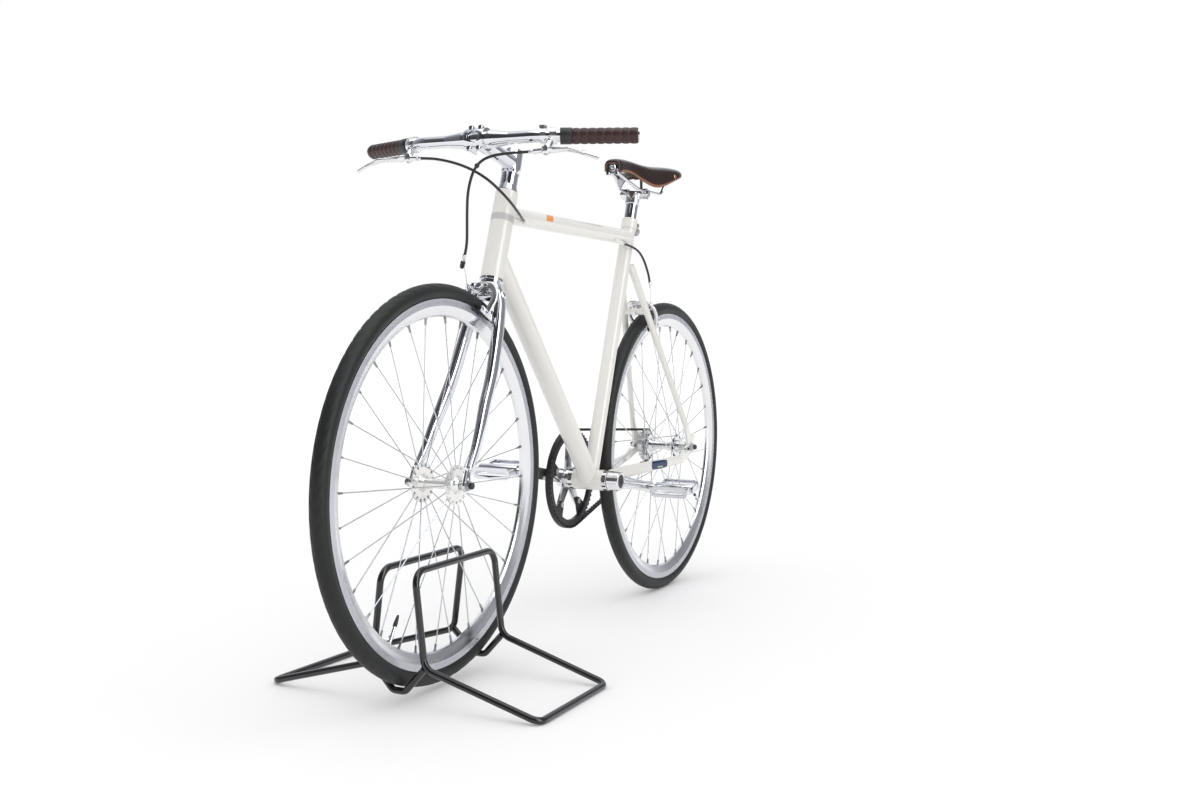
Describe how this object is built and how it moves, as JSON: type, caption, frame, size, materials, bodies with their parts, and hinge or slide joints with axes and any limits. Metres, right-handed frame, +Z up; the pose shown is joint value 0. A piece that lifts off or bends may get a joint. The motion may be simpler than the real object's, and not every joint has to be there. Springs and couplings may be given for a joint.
{
  "type": "city bicycle",
  "caption": "Belt-driven city bicycle with flat bar, leather saddle and caliper brakes, its front wheel held upright in a bent-rod stand.",
  "frame": {"origin": "on the floor, midway between the two axles, in the bicycle's middle plane", "axes": "+X to the rider's left, -Y forward, +Z up"},
  "size_m": [0.5642, 1.6503, 0.9825],
  "materials": {
    "frame_paint": "gloss",
    "chrome": "polished",
    "alloy": "satin",
    "rim_alloy": "polished",
    "steel": "satin",
    "tyre": "matte",
    "belt_rubber": "satin",
    "black_ring": "anodised",
    "pad_rubber": "matte",
    "cable_housing": "satin",
    "brown_leather": "satin",
    "stand_black": "gloss"
  },
  "bodies": {
    "frame": {"head_tube": "frame_paint", "top_tube": "frame_paint", "down_tube": "frame_paint", "seat_tube": "frame_paint", "bottom_bracket_shell": "frame_paint", "bottom_bracket_cups": "alloy", "chain_stays": "frame_paint", "seat_stays": "frame_paint", "dropouts": "frame_paint", "brake_bridge": "frame_paint", "rear_axle": "steel", "rear_brake_caliper": "alloy", "rear_brake_pads": "pad_rubber", "rear_brake_cable_rear": "cable_housing", "belt": "belt_rubber", "seat_post": "chrome", "seat_binder": "steel", "saddle_clamp": "alloy", "saddle_rails": "chrome", "saddle_frame": "chrome", "saddle_leather": "brown_leather"},
    "steering": {"fork_crown": "chrome", "fork_blades": "chrome", "front_axle": "steel", "headset_spacers": "chrome", "stem": "chrome", "stem_faceplate": "chrome", "handlebar": "chrome", "grip_collars": "pad_rubber", "left_grip": "brown_leather", "right_grip": "brown_leather", "bar_plugs": "chrome", "brake_lever_mounts": "alloy", "brake_levers": "alloy", "accessory_band": "alloy", "front_brake_caliper": "alloy", "front_brake_pads": "pad_rubber", "front_brake_cable": "cable_housing", "rear_brake_cable_front": "cable_housing", "left_stand_loop": "stand_black", "right_stand_loop": "stand_black", "stand_cradles": "stand_black"},
    "front_wheel": {"front_wheel_tyre": "tyre", "front_wheel_rim": "rim_alloy", "front_wheel_hub": "alloy", "front_wheel_spokes": "steel"},
    "rear_wheel": {"rear_wheel_tyre": "tyre", "rear_wheel_rim": "rim_alloy", "rear_wheel_hub": "alloy", "rear_wheel_spokes": "steel"},
    "sprocket": {"rear_sprocket": "steel"},
    "crankset": {"left_crank": "alloy", "right_crank": "alloy", "belt_ring": "black_ring", "ring_bolts": "steel"},
    "left_pedal": {"left_pedal": "alloy"},
    "right_pedal": {"right_pedal": "alloy"}
  },
  "joints": [
    {"name": "steering", "type": "hinge", "parent": "frame", "child": "steering", "pos_m": [0, -0.2895, 0.7795], "axis": [0, 0.3173, 0.9483], "range_deg": [-60, 60], "deforming": ["rear_brake_cable_front"]},
    {"name": "front_wheel_spin", "type": "hinge", "parent": "steering", "child": "front_wheel", "pos_m": [0, -0.48725, 0.347], "axis": [1, 0, 0], "continuous": true},
    {"name": "rear_wheel_spin", "type": "hinge", "parent": "frame", "child": "rear_wheel", "pos_m": [0, 0.48725, 0.338], "axis": [1, 0, 0], "continuous": true},
    {"name": "crank_spin", "type": "hinge", "parent": "frame", "child": "crankset", "pos_m": [0, 0.0938, 0.2964], "axis": [1, 0, 0], "continuous": true},
    {"name": "sprocket_spin", "type": "hinge", "parent": "frame", "child": "sprocket", "pos_m": [0, 0.48725, 0.338], "axis": [1, 0, 0], "continuous": true},
    {"name": "left_pedal_spin", "type": "hinge", "parent": "crankset", "child": "left_pedal", "pos_m": [0.12, 0.26122, 0.26688], "axis": [1, 0, 0], "continuous": true},
    {"name": "right_pedal_spin", "type": "hinge", "parent": "crankset", "child": "right_pedal", "pos_m": [-0.12, -0.07362, 0.32592], "axis": [1, 0, 0], "continuous": true}
  ],
  "couplings": [
    {"joint": "sprocket_spin", "follows": "crank_spin", "ratio": 2.7273}
  ]
}
